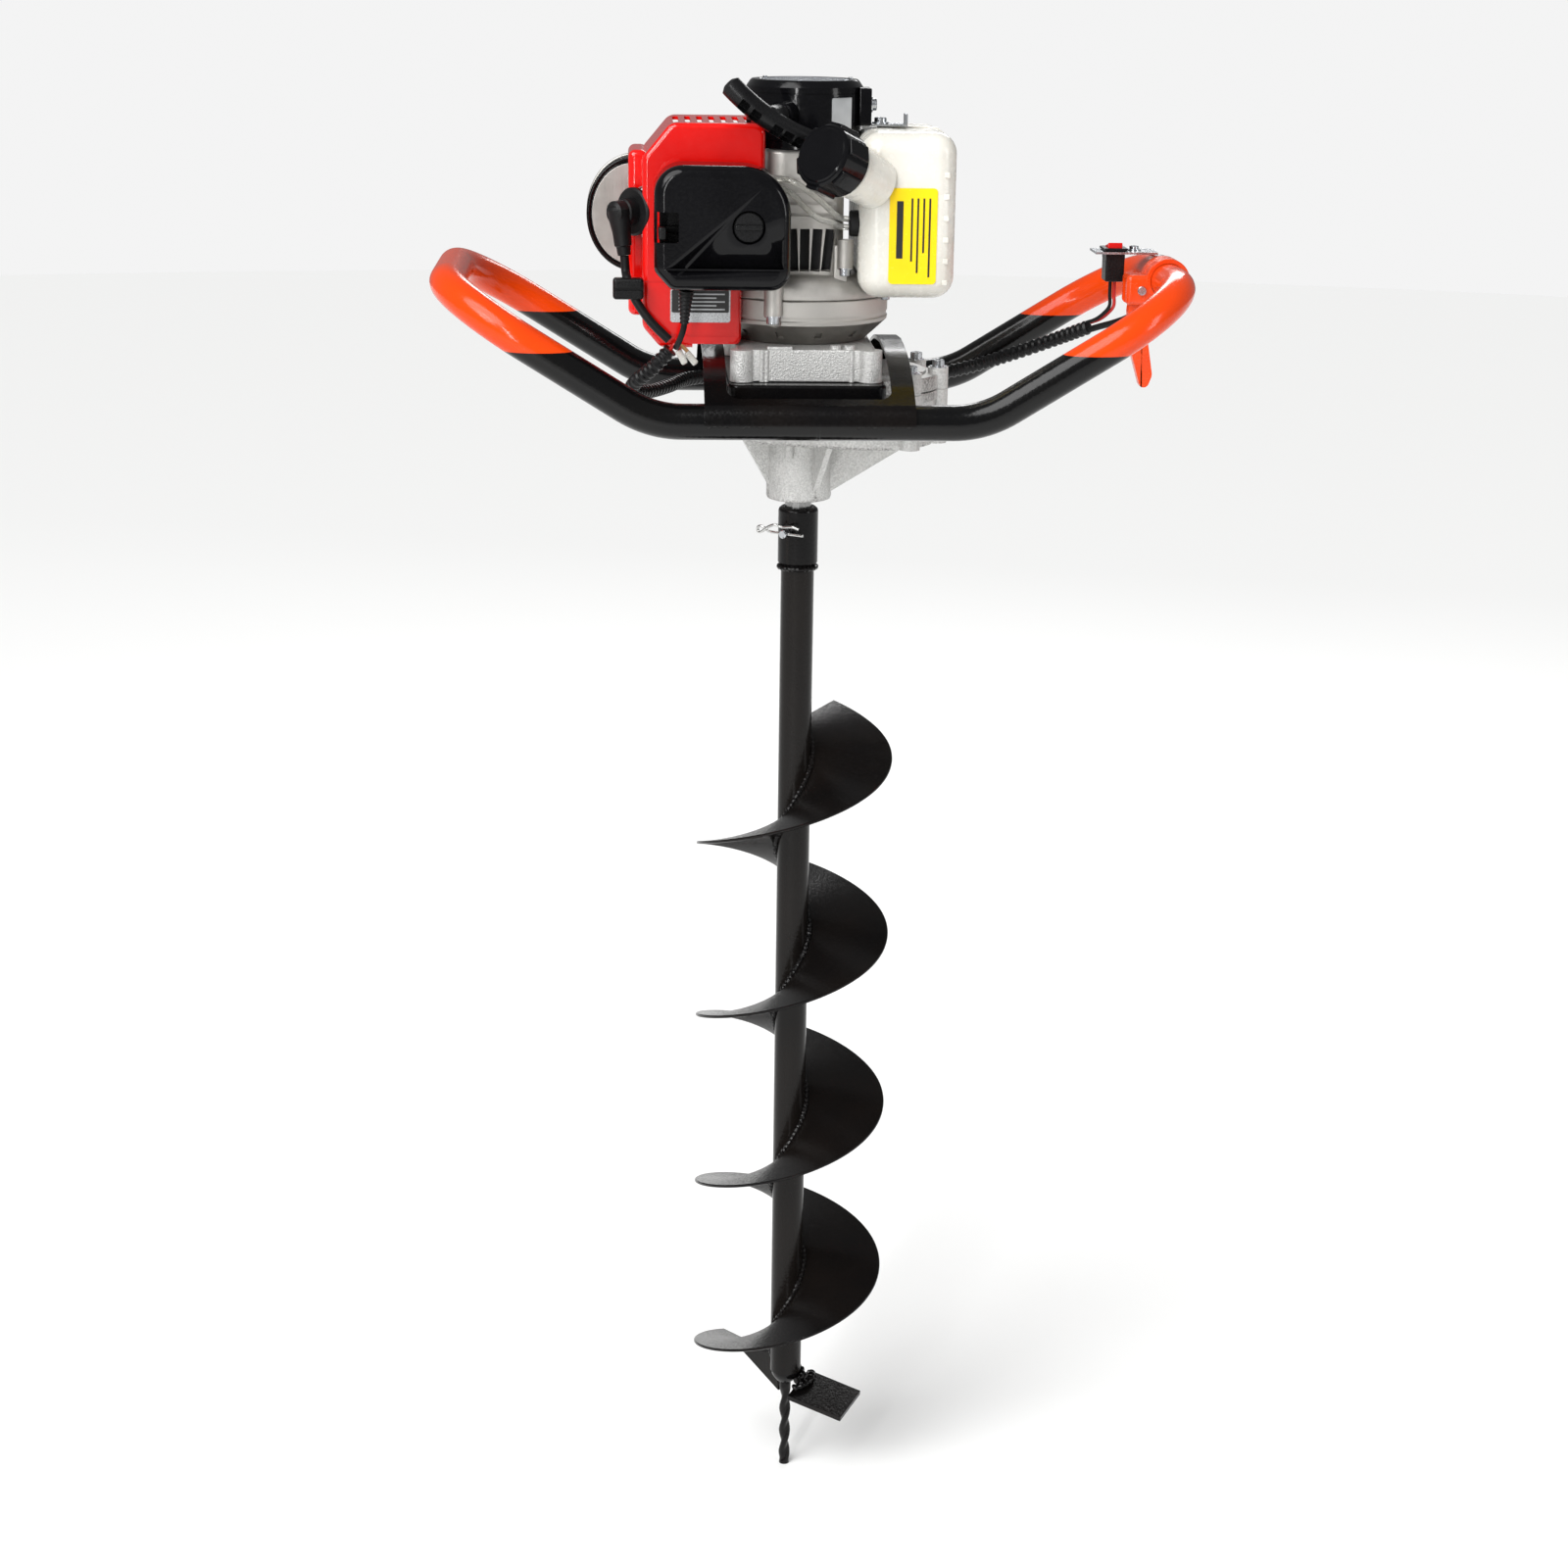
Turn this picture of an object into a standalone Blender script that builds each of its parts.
"""A petrol earth and ice auger: two-stroke powerhead, loop handle, reduction gearbox and a 150 mm bit.

Run with: blender --background --python part.py

Frame: the origin is the flat end of the pilot point, +Z runs up the drive axis, +X is the throttle
side and -Y is the side of the air cleaner and the fuel cap. Sizes in this file are millimetres, and
MM turns them into Blender's metres where a mesh or a place is made.
"""

import math

import bmesh
import bpy
from mathutils import Matrix, Vector

MM = 0.001
GAP = 0.3
DETAIL = 0.55  # the share of each round shape's full number of sides

# Bit
BIT_RADIUS = 75.0
BIT_TUBE_RADIUS = 12.5
BIT_TUBE_WALL = 2.5
BIT_TUBE_BOTTOM = 85.6
BIT_TUBE_TOP = 753.0
FLIGHT_PITCH = 141.65
FLIGHT_THICKNESS = 2.5
FLIGHT_SEGMENTS = 4
FLIGHT_START_DEG = -1309.0
FLIGHT_END_DEG = 62.7
FLIGHT_START_Z = 92.3
FLIGHT_STEPS = 26
PILOT_RADIUS = 4.6
COLLAR_BOTTOM = 753.3
COLLAR_TOP = 800.7
COLLAR_RADIUS = 15.0
SHAFT_RADIUS = 10.0
PIN_Z = 782.5
PIN_RADIUS = 3.2
PIN_DEG = -125.0

# Gear train
GEAR_MODULE = 105 / 36
PINION_TEETH = 6
WHEEL_TEETH = 30
CENTRE_DISTANCE = GEAR_MODULE * (PINION_TEETH + WHEEL_TEETH) / 2
IDLER_DEG = -16.5
IDLER_X = CENTRE_DISTANCE * math.cos(math.radians(IDLER_DEG))
IDLER_Y = CENTRE_DISTANCE * math.sin(math.radians(IDLER_DEG))
LOW_GEAR_Z = 859.0
HIGH_GEAR_Z = 872.5
GEAR_WIDTH = 9.0

# Gearbox castings
NECK_RADIUS = 24.3
NECK_BOTTOM = 807.0
HOUSING_BOTTOM = 853.0
HOUSING_TOP = 893.0
HOUSING_RADIUS = 50.5
HOUSING_WALL = 4.0
BLOCK_BOTTOM = 904.1
COVER_TOP = 927.0
EAR_TOP = 909.0

# Loop handle
GRIP_RADIUS = 12.7
GRIP_WALL = 2.0
RUN_Y = 117.0
RUN_Z = 882.2
RUN_BEND_X = 116.8
LOOP_END_X = 261.5
LOOP_END_Z = 971.5
RUN_BEND_RADIUS = 76.0
LOOP_BEND_RADIUS = 68.4
HANDLE_SHIFT = 6.0

# Engine
BELL_RADIUS = 63.0
BELL_SEAM_Z = 960.0
CRANK_Z = 1015.0
STROKE = 28.0
BORE_RADIUS = 17.3
CUP_RADIUS = 42.0
CUP_BOTTOM = 1064.6
CUP_TOP = 1112.0
REEL_RADIUS = 26.0
ROPE_RADIUS = 1.8
PULL_DIRECTION = Vector((-0.35, -0.937, 0.0)).normalized()
GUIDE_LENGTH = 20.0
CAP_DIRECTION = Vector((-0.66, -0.66, 0.36)).normalized()
CAP_FACE = Vector((6.0, -106.0, 1066.0))
CAP_DEPTH = 25.0

FINISHES = {
    "black_paint": ((0.012, 0.012, 0.013), 0.25, 0.0),
    "orange_paint": ((0.85, 0.13, 0.01), 0.25, 0.0),
    "cast_aluminium": ((0.55, 0.55, 0.54), 0.5, 1.0),
    "steel": ((0.6, 0.6, 0.6), 0.3, 1.0),
    "chrome": ((0.8, 0.8, 0.8), 0.12, 1.0),
    "red_plastic": ((0.75, 0.02, 0.01), 0.25, 0.0),
    "black_plastic": ((0.02, 0.02, 0.02), 0.35, 0.0),
    "black_rubber": ((0.02, 0.02, 0.02), 0.7, 0.0),
    "white_plastic": ((0.8, 0.79, 0.75), 0.35, 0.0),
    "clear_hose": ((0.8, 0.8, 0.75), 0.2, 0.0),
    "orange_plastic": ((0.9, 0.2, 0.02), 0.3, 0.0),
    "filter_foam": ((0.1, 0.1, 0.1), 0.9, 0.0),
    "ceramic": ((0.85, 0.85, 0.85), 0.2, 0.0),
}


# Scene and materials


def clear_scene():
    for obj in list(bpy.data.objects):
        bpy.data.objects.remove(obj, do_unlink=True)


def new_collection(name):
    collection = bpy.data.collections.new(name)
    bpy.context.scene.collection.children.link(collection)
    return collection


def material_of(name):
    """The Principled material of one finish, made the first time it is asked for."""
    material = bpy.data.materials.get(name)
    if material:
        return material
    colour, roughness, metallic = FINISHES[name]
    material = bpy.data.materials.new(name)
    material.use_nodes = True
    shader = material.node_tree.nodes["Principled BSDF"]
    shader.inputs["Base Color"].default_value = (*colour, 1.0)
    shader.inputs["Roughness"].default_value = roughness
    shader.inputs["Metallic"].default_value = metallic
    material.diffuse_color = (*colour, 1.0)
    return material


clear_scene()
PARTS = new_collection("petrol_auger")
TOOLS = new_collection("petrol_auger_tools")
TOOLS.hide_render = True


# Shapes. Each is drawn in millimetres about its own origin, then placed.


def add(name, bm, finish, at=(0, 0, 0), axis=(0, 0, 1)):
    """An object holding this bmesh, with its own +Z laid along axis."""
    bmesh.ops.scale(bm, vec=(MM, MM, MM), verts=bm.verts)
    mesh = bpy.data.meshes.new(name)
    bm.to_mesh(mesh)
    bm.free()
    mesh.shade_smooth()
    mesh.set_sharp_from_angle(angle=math.radians(35))
    obj = bpy.data.objects.new(name, mesh)
    obj.data.materials.append(material_of(finish))
    PARTS.objects.link(obj)
    lay(obj, at, axis)
    return obj


def lay(obj, at, axis=(0, 0, 1)):
    obj.location = Vector(at) * MM
    obj.rotation_euler = Vector(axis).to_track_quat("Z", "Y").to_euler()
    if Vector(axis).normalized().z > 0.9999:
        obj.rotation_euler = (0, 0, 0)
    return obj


def bevelled(obj, width, segments=2):
    modifier = obj.modifiers.new("Bevel", "BEVEL")
    modifier.width = width * MM
    modifier.segments = segments
    modifier.limit_method = "ANGLE"
    modifier.angle_limit = math.radians(40)
    return obj


def block(name, finish, size, at, bevel=0.0, segments=2, turn=(0, 0, 0)):
    """A box of this size about its middle, turned by Euler degrees."""
    bm = bmesh.new()
    bmesh.ops.create_cube(bm, size=1.0)
    bmesh.ops.scale(bm, vec=size, verts=bm.verts)
    obj = add(name, bm, finish, at)
    obj.rotation_euler = [math.radians(a) for a in turn]
    return bevelled(obj, bevel, segments) if bevel else obj


def sides_of(full):
    """The number of sides a round shape gets, a multiple of four so that it keeps its width and depth."""
    return max(8, 4 * round(full * DETAIL / 4))


def rod(name, finish, radius, length, at, axis=(0, 0, 1), sides=24, tip=None):
    """A cylinder from at along axis; tip is the radius at its far end."""
    bm = bmesh.new()
    bmesh.ops.create_cone(
        bm, cap_ends=True, segments=sides_of(sides), radius1=radius, radius2=radius if tip is None else tip, depth=length
    )
    bmesh.ops.translate(bm, vec=(0, 0, length / 2), verts=bm.verts)
    return add(name, bm, finish, at, axis)


def turned(name, finish, profile, at=(0, 0, 0), axis=(0, 0, 1), steps=32, ring=False):
    """A profile of (radius, height) points, run down its outer side, turned about axis."""
    bm = bmesh.new()
    points = [bm.verts.new((r, 0, z)) for r, z in profile]
    for a, b in zip(points, points[1:]):
        bm.edges.new((a, b))
    if ring:
        bm.edges.new((points[-1], points[0]))
    obj = add(name, bm, finish, at, axis)
    screw = obj.modifiers.new("Turn", "SCREW")
    screw.axis = "Z"
    screw.angle = 2 * math.pi
    screw.steps = screw.render_steps = sides_of(steps)
    screw.use_merge_vertices = True
    screw.merge_threshold = 0.00001
    screw.use_smooth_shade = True
    return obj


def as_mesh(obj):
    """The same object as a welded mesh, so that it can be cut or joined."""
    bpy.context.view_layer.update()
    mesh = bpy.data.meshes.new_from_object(obj.evaluated_get(bpy.context.evaluated_depsgraph_get()))
    bm = bmesh.new()
    bm.from_mesh(mesh)
    bmesh.ops.remove_doubles(bm, verts=bm.verts, dist=0.000001)
    bmesh.ops.recalc_face_normals(bm, faces=bm.faces)
    bm.to_mesh(mesh)
    bm.free()
    name = obj.name
    finish = obj.data.materials[0]
    made = bpy.data.objects.new(name, mesh)
    made.matrix_world = obj.matrix_world
    mesh.materials.clear()
    mesh.materials.append(finish)
    bpy.data.objects.remove(obj, do_unlink=True)
    made.name = name
    PARTS.objects.link(made)
    return made


def extruded(name, finish, outline, thickness, at, facing="Z"):
    """A flat outline thickened about at; facing "Y" stands the outline up in the XZ plane."""
    curve = bpy.data.curves.new(name, "CURVE")
    curve.dimensions = "2D"
    curve.fill_mode = "BOTH"
    curve.extrude = thickness / 2 * MM
    spline = curve.splines.new("POLY")
    spline.points.add(len(outline) - 1)
    for point, (x, y) in zip(spline.points, outline):
        point.co = (x * MM, y * MM, 0, 1)
    spline.use_cyclic_u = True
    curve.materials.append(material_of(finish))
    obj = bpy.data.objects.new(name, curve)
    PARTS.objects.link(obj)
    obj.location = Vector(at) * MM
    if facing == "Y":
        obj.rotation_euler = (math.radians(90), 0, 0)
    if facing == "X":
        obj.rotation_euler = (math.radians(90), 0, math.radians(90))
    return as_mesh(obj)


def tube(name, finish, points, radius, resolution=3, caps=True):
    """A round wire or pipe along these points."""
    curve = bpy.data.curves.new(name, "CURVE")
    curve.dimensions = "3D"
    curve.bevel_depth = radius * MM
    curve.bevel_resolution = resolution
    curve.use_fill_caps = caps
    spline = curve.splines.new("POLY")
    spline.points.add(len(points) - 1)
    for point, place in zip(spline.points, points):
        point.co = (*(Vector(place) * MM), 1)
    curve.materials.append(material_of(finish))
    obj = bpy.data.objects.new(name, curve)
    PARTS.objects.link(obj)
    return obj


def loft(name, finish, rings):
    """A closed skin through rings of equally many points, capped at both ends."""
    bm = bmesh.new()
    rows = [[bm.verts.new(p) for p in ring] for ring in rings]
    count = len(rings[0])
    for low, high in zip(rows, rows[1:]):
        for i in range(count):
            j = (i + 1) % count
            bm.faces.new((low[i], low[j], high[j], high[i]))
    bm.faces.new(reversed(rows[0]))
    bm.faces.new(rows[-1])
    bmesh.ops.recalc_face_normals(bm, faces=bm.faces)
    return add(name, bm, finish)


def as_tool(obj):
    PARTS.objects.unlink(obj)
    TOOLS.objects.link(obj)
    obj.hide_render = True
    obj.display_type = "WIRE"
    return obj


def boolean(obj, other, operation):
    as_tool(other)
    modifier = obj.modifiers.new(operation.title(), "BOOLEAN")
    modifier.operation = operation
    modifier.solver = "EXACT"
    modifier.object = other
    return obj


def cut(obj, *tools):
    for tool in tools:
        boolean(obj, tool, "DIFFERENCE")
    return obj


def join(obj, *others):
    for other in others:
        boolean(obj, other, "UNION")
    return obj


def tray(name, finish, outline, depth, wall, at, bevel, segments=2):
    """A thin tub: the outline in the XZ plane is its closed front, and it opens towards +Y."""
    bm = bmesh.new()
    front = bm.faces.new([bm.verts.new((x, 0, z)) for x, z in outline])
    sides = bmesh.ops.extrude_face_region(bm, geom=[front])
    moved = [item for item in sides["geom"] if isinstance(item, bmesh.types.BMVert)]
    bmesh.ops.translate(bm, vec=(0, depth, 0), verts=moved)
    back = [item for item in sides["geom"] if isinstance(item, bmesh.types.BMFace)]
    bmesh.ops.delete(bm, geom=back, context="FACES_ONLY")
    bmesh.ops.recalc_face_normals(bm, faces=bm.faces)
    middle = Vector((sum(x for x, _ in outline) / len(outline), depth / 2, sum(z for _, z in outline) / len(outline)))
    face = max(bm.faces, key=lambda f: f.calc_area())
    if face.normal.dot(face.calc_center_median() - middle) < 0:
        bmesh.ops.reverse_faces(bm, faces=bm.faces)
    obj = bevelled(add(name, bm, finish, at), bevel, segments)
    skin = obj.modifiers.new("Wall", "SOLIDIFY")
    skin.thickness = wall * MM
    skin.offset = -1
    skin.use_even_offset = True
    return obj


# Outlines and paths


def arc(centre, radius, start, end, count):
    """Points on a circle from start to end degrees."""
    turns = [math.radians(start + (end - start) * i / count) for i in range(count + 1)]
    return [(centre[0] + radius * math.cos(t), centre[1] + radius * math.sin(t)) for t in turns]


def fillet(corners, radii, closed=False, step=12.0):
    """A path through corners with each one rounded to its radius."""
    corners = [Vector(c) for c in corners]
    path = []
    count = len(corners)
    for i, corner in enumerate(corners):
        if not closed and i in (0, count - 1):
            path.append(corner)
            continue
        to_last = (corners[i - 1] - corner).normalized()
        to_next = (corners[(i + 1) % count] - corner).normalized()
        radius = radii[i]
        half = to_last.angle(to_next) / 2
        if radius <= 0:
            path.append(corner)
            continue
        centre = corner + (to_last + to_next).normalized() * radius / math.sin(half)
        first = corner + to_last * radius / math.tan(half) - centre
        last = corner + to_next * radius / math.tan(half) - centre
        sweep = math.pi - 2 * half
        steps = max(2, round(math.degrees(sweep) / step))
        for k in range(steps + 1):
            share = k / steps
            a = math.sin((1 - share) * sweep) / math.sin(sweep)
            b = math.sin(share * sweep) / math.sin(sweep)
            path.append(centre + first * a + last * b)
    return path


def rounded(corners, radii, step=15.0):
    """A closed outline of (x, y) corners, each rounded."""
    if not isinstance(radii, (list, tuple)):
        radii = [radii] * len(corners)
    flat = [Vector((x, y, 0)) for x, y in corners]
    return [(p.x, p.y) for p in fillet(flat, radii, closed=True, step=step)]


def inset(outline, by):
    """The same corners moved inwards, for the inside of a wall. The outline runs clockwise."""
    moved = []
    for i, here in enumerate(outline):
        after = outline[(i + 1) % len(outline)]
        before = outline[i - 1]
        a = Vector((here[1] - before[1], before[0] - here[0])).normalized()
        b = Vector((after[1] - here[1], here[0] - after[0])).normalized()
        mitre = (a + b) / (1 + a.dot(b))
        moved.append((here[0] + mitre.x * by, here[1] + mitre.y * by))
    return moved


def rectangle(x0, y0, x1, y1, radius):
    return rounded([(x0, y0), (x1, y0), (x1, y1), (x0, y1)], radius)


def spline_path(points, spacing):
    """Evenly spaced points on a smooth curve through points."""
    points = [Vector(p) for p in points]
    padded = [2 * points[0] - points[1], *points, 2 * points[-1] - points[-2]]
    fine = []
    for a, b, c, d in zip(padded, padded[1:], padded[2:], padded[3:]):
        for k in range(20):
            t = k / 20
            fine.append(
                0.5 * (2 * b + (c - a) * t + (2 * a - 5 * b + 4 * c - d) * t * t + (3 * b - a - 3 * c + d) * t**3)
            )
    fine.append(points[-1])
    path = [fine[0]]
    for point in fine:
        if (point - path[-1]).length >= spacing:
            path.append(point)
    if (path[-1] - points[-1]).length > spacing / 3:
        path.append(points[-1])
    else:
        path[-1] = points[-1]
    return path


def gear_outline(teeth, phase_deg):
    """Trapezoid teeth with short tips and wide backlash, so that a pair runs clear."""
    pitch_radius = teeth * GEAR_MODULE / 2
    root, tip = pitch_radius - 1.0 * GEAR_MODULE, pitch_radius + 0.5 * GEAR_MODULE
    step = 2 * math.pi / teeth
    outline = []
    for i in range(teeth):
        middle = math.radians(phase_deg) + i * step
        for radius, share in ((root, -0.25), (tip, -0.11), (tip, 0.11), (root, 0.25)):
            turn = middle + share * step
            outline.append((radius * math.cos(turn), radius * math.sin(turn)))
    return outline


def gear(name, finish, teeth, phase_deg, x, y, z):
    return extruded(name, finish, gear_outline(teeth, phase_deg), GEAR_WIDTH, (x, y, z + GEAR_WIDTH / 2))


def two_circle_outline(radius_a, radius_b, count=11):
    """The belt-shaped outline round the drive axis and the idler axis."""
    lean = math.degrees(math.asin((radius_a - radius_b) / CENTRE_DISTANCE))
    up, down = IDLER_DEG + 90 - lean, IDLER_DEG - 90 + lean
    return arc((0, 0), radius_a, up, down + 360, count) + arc((IDLER_X, IDLER_Y), radius_b, down, up, count)


# Bit


def build_pilot():
    """A twisted two-flute rod with a blunt flat end, on a plug that is welded into the tube."""
    rings = []
    for z in [0, 1.5, *range(12, 64, 9), 66, 78]:
        fluted = 0.75 if 1.5 < z < 66 else 0.0
        twist = math.radians(z * 9.0)
        ring = []
        for i in range(12):
            turn = math.tau * i / 12
            radius = PILOT_RADIUS * (0.9 if z == 0 else 1.0) - fluted * (1 + math.cos(2 * turn))
            ring.append((radius * math.cos(turn + twist), radius * math.sin(turn + twist), z))
        rings.append(ring)
    pilot = loft("pilot_point", "black_paint", rings)
    plug_radius = BIT_TUBE_RADIUS - BIT_TUBE_WALL - GAP
    plug = turned(
        "pilot_plug",
        "black_paint",
        [(0, 104), (plug_radius, 104), (plug_radius, 85.2), (11.5, 85.2), (11.5, 83), (6, 76), (0, 76)],
        steps=24,
    )
    return join(pilot, plug)


def build_tube():
    inner = BIT_TUBE_RADIUS - BIT_TUBE_WALL
    return turned(
        "bit_tube",
        "black_paint",
        [
            (BIT_TUBE_RADIUS, BIT_TUBE_TOP),
            (BIT_TUBE_RADIUS, BIT_TUBE_BOTTOM),
            (inner, BIT_TUBE_BOTTOM),
            (inner, BIT_TUBE_TOP),
        ],
        steps=28,
        ring=True,
    )


def build_flight(index):
    """One welded length of the helical flight, a radial line swept up the tube and thickened."""
    whole = FLIGHT_END_DEG - FLIGHT_START_DEG
    length = whole / FLIGHT_SEGMENTS
    start = FLIGHT_START_DEG + index * length + (0.25 if index else 0)
    sweep = length - (0.25 if index else 0) - (0.25 if index < FLIGHT_SEGMENTS - 1 else 0)
    bm = bmesh.new()
    radii = (BIT_TUBE_RADIUS + 0.45, 44.0, BIT_RADIUS)
    points = [bm.verts.new((r, 0, 0)) for r in radii]
    for a, b in zip(points, points[1:]):
        bm.edges.new((b, a))
    height = FLIGHT_START_Z + FLIGHT_PITCH * (start - FLIGHT_START_DEG) / 360
    flight = add(f"flight_{index + 1}", bm, "black_paint", (0, 0, height))
    flight.rotation_euler = (0, 0, math.radians(start))
    screw = flight.modifiers.new("Helix", "SCREW")
    screw.axis = "Z"
    screw.angle = math.radians(sweep)
    screw.screw_offset = FLIGHT_PITCH * sweep / 360 * MM
    screw.steps = screw.render_steps = FLIGHT_STEPS
    screw.use_smooth_shade = True
    skin = flight.modifiers.new("Plate", "SOLIDIFY")
    skin.thickness = FLIGHT_THICKNESS * MM
    skin.offset = 0
    return flight


def build_blade():
    """The flat cutter blade, dipped outwards and lowest at its leading edge, notched round the pilot."""
    blade = block("cutter_blade", "black_paint", (48, 38, 4), (31, -15, 68.5), bevel=0.6, segments=1, turn=(10, 10, -28))
    return cut(blade, rod("blade_notch", "steel", 7.5, 60, (0, 0, 50), sides=20))


def build_collar():
    """The coupling socket: the shaft goes in from above and the clevis pin through its side."""
    bore = SHAFT_RADIUS + GAP
    collar = turned(
        "bit_collar",
        "black_paint",
        [
            (12.9, COLLAR_TOP),
            (COLLAR_RADIUS, COLLAR_TOP - 5),
            (COLLAR_RADIUS, COLLAR_BOTTOM + 5),
            (13.4, COLLAR_BOTTOM + 3.2),
            (13.4, COLLAR_BOTTOM),
            (9.6, COLLAR_BOTTOM),
            (9.6, COLLAR_BOTTOM + 8),
            (bore, COLLAR_BOTTOM + 8.5),
            (bore, COLLAR_TOP),
        ],
        steps=32,
        ring=True,
    )
    return cut(collar, pin_hole("collar_pin_hole"))


def pin_axis():
    return Vector((math.cos(math.radians(PIN_DEG)), math.sin(math.radians(PIN_DEG)), 0))


def pin_hole(name):
    start = Vector((0, 0, PIN_Z)) - pin_axis() * 40
    return rod(name, "steel", PIN_RADIUS + GAP, 80, start, pin_axis(), sides=16)


def build_pin():
    """The clevis pin: a domed head behind, and a cross-hole at the front end for the clip."""
    outer = COLLAR_RADIUS + GAP
    pin = turned(
        "clevis_pin",
        "steel",
        [
            (0, outer + 7.5),
            (PIN_RADIUS - 0.6, outer + 7.5),
            (PIN_RADIUS, outer + 6.8),
            (PIN_RADIUS, -outer),
            (5.5, -outer),
            (5.5, -outer - 2),
            (4, -outer - 3),
            (0, -outer - 3),
        ],
        at=(0, 0, PIN_Z),
        axis=pin_axis(),
        steps=16,
    )
    along = clip_axis()
    hole = rod("clip_hole", "steel", 1.4, 20, clip_middle() - along * 10, along, sides=12)
    return cut(pin, hole)


def clip_axis():
    """The clip's straight leg lies level, square to the pin."""
    return Vector((0, 0, 1)).cross(pin_axis()).normalized()


def clip_middle():
    return Vector((0, 0, PIN_Z)) + pin_axis() * (COLLAR_RADIUS + GAP + 4)


def build_clip():
    """A hairpin clip: a straight leg through the pin and a waved leg over its end, joined by an eye."""
    middle, along, out = clip_middle(), clip_axis(), pin_axis()
    flat = [
        (16, 0), (8, 0), (0, 0), (-8, 0), (-14, 0.4), (-18, 3.2), (-21.5, 3.6), (-23.5, 1.4), (-22.5, -1.0),
        (-19.5, -0.6), (-16, 1.8), (-12, 4.6), (-7, 6.6), (-3, 5.6), (0, 5.2), (3, 5.6), (8, 6.4), (13, 5.2),
    ]
    lift = [0.0] * 8 + [0.8, 1.7] + [1.9] * 2 + [1.2] + [0.4] * 5
    points = [middle + along * a + out * b + Vector((0, 0, c)) for (a, b), c in zip(flat, lift)]
    return tube("hairpin_clip", "chrome", spline_path(points, 3.2), 0.95, resolution=1)


# Gearbox


def build_output_shaft():
    """The driven shaft: a seat for its gear, and the stub that the bit's collar is pinned to."""
    shaft = turned(
        "output_shaft",
        "steel",
        [
            (0, LOW_GEAR_Z + GEAR_WIDTH + 2),
            (11, LOW_GEAR_Z + GEAR_WIDTH + 2),
            (11, LOW_GEAR_Z - 1),
            (SHAFT_RADIUS, LOW_GEAR_Z - 1),
            (SHAFT_RADIUS, 764),
            (SHAFT_RADIUS - 1, 763),
            (0, 763),
        ],
        steps=24,
    )
    return cut(shaft, pin_hole("shaft_pin_hole"))


def build_output_gear():
    wheel = gear("output_gear", "steel", WHEEL_TEETH, IDLER_DEG, 0, 0, LOW_GEAR_Z)
    return cut(wheel, rod("output_gear_bore", "steel", 11.3, 30, (0, 0, LOW_GEAR_Z - 8), sides=28))


def build_idler():
    """The idler cluster: the wheel that the input pinion drives and the pinion that drives the output."""
    small = gear("idler_gear", "steel", PINION_TEETH, IDLER_DEG + 180 + 180 / PINION_TEETH, IDLER_X, IDLER_Y, LOW_GEAR_Z)
    big = gear("idler_wheel", "steel", WHEEL_TEETH, IDLER_DEG + 180, IDLER_X, IDLER_Y, HIGH_GEAR_Z)
    axle = rod("idler_axle", "steel", 5.5, 30.5, (IDLER_X, IDLER_Y, HOUSING_BOTTOM + HOUSING_WALL + 0.6), sides=20)
    return join(small, axle, big)


def build_input_pinion():
    pinion = gear("input_pinion", "steel", PINION_TEETH, IDLER_DEG + 180 / PINION_TEETH, 0, 0, HIGH_GEAR_Z)
    return join(pinion, rod("input_shaft", "steel", 6.4, 29.5, (0, 0, HIGH_GEAR_Z + 2), sides=20))


def build_clutch_drum():
    """The drum that the shoes grip; its hub sits over the input shaft."""
    return turned(
        "clutch_drum",
        "steel",
        [
            (31.5, 938),
            (31.5, 909),
            (11, 909),
            (11, 906.5),
            (6.8, 906.5),
            (6.8, 912),
            (28.5, 912),
            (28.5, 938),
        ],
        steps=32,
        ring=True,
    )


def build_output_bearing():
    return turned(
        "output_bearing",
        "steel",
        [(19, 846), (19, 834), (SHAFT_RADIUS + GAP, 834), (SHAFT_RADIUS + GAP, 846)],
        steps=28,
        ring=True,
    )


def web(name, start_deg, reach, low, thickness):
    """A triangular rib from the neck out to the underside of the housing."""
    outline = [(NECK_RADIUS - 3, low), (NECK_RADIUS - 0.5, low), (reach, HOUSING_BOTTOM - 1), (reach, HOUSING_BOTTOM + 1),
               (NECK_RADIUS - 3, HOUSING_BOTTOM + 1)]
    rib = extruded(name, "cast_aluminium", outline, thickness, (0, 0, 0), facing="Y")
    rib.matrix_world = Matrix.Rotation(math.radians(start_deg), 4, "Z") @ rib.matrix_world
    return rib


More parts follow.
